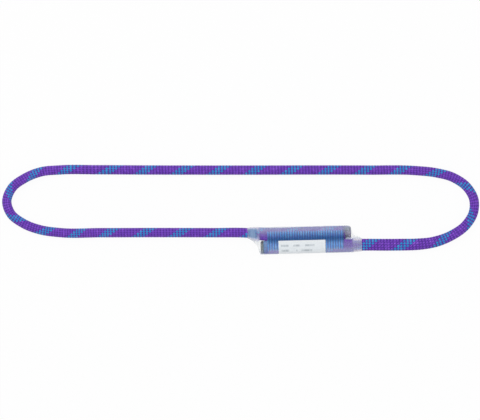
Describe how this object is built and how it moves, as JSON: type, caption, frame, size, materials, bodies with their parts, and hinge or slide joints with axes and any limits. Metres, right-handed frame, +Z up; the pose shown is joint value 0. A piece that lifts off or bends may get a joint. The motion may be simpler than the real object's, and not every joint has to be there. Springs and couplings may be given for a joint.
{
  "type": "sewn rope sling",
  "caption": "Closed loop of dynamic climbing rope, its two ends laid side by side, sewn across and covered by a clear shrink sleeve over a label.",
  "frame": {"origin": "middle of the loop's outline, on the surface that it lies on", "axes": "+X along the loop's length, towards the end next to the splice; +Y across the loop, away from the splice; +Z up"},
  "size_m": [0.4295, 0.0811, 0.009],
  "materials": {
    "sheath_nylon": "braided nylon, purple with blue tracer yarns",
    "core_nylon": "twisted white nylon",
    "marker_nylon": "coloured yarn",
    "melted_nylon": "fused and glossy",
    "sewing_thread": "twisted bonded thread",
    "shrink_sleeve": "milky clear, glossy, slightly wrinkled",
    "label_film": "printed film"
  },
  "bodies": {
    "root": {"rope_sheath": "sheath_nylon", "core_strand_1": "core_nylon", "core_strand_2": "core_nylon", "core_strand_3": "core_nylon", "core_strand_4": "core_nylon", "core_strand_5": "core_nylon", "core_strand_6": "core_nylon", "core_strand_7": "core_nylon", "marker_yarn": "marker_nylon", "melted_end_lower": "melted_nylon", "melted_end_upper": "melted_nylon", "needle_thread": "sewing_thread", "bobbin_thread": "sewing_thread", "sleeve": "shrink_sleeve", "label": "label_film"}
  },
  "joints": []
}
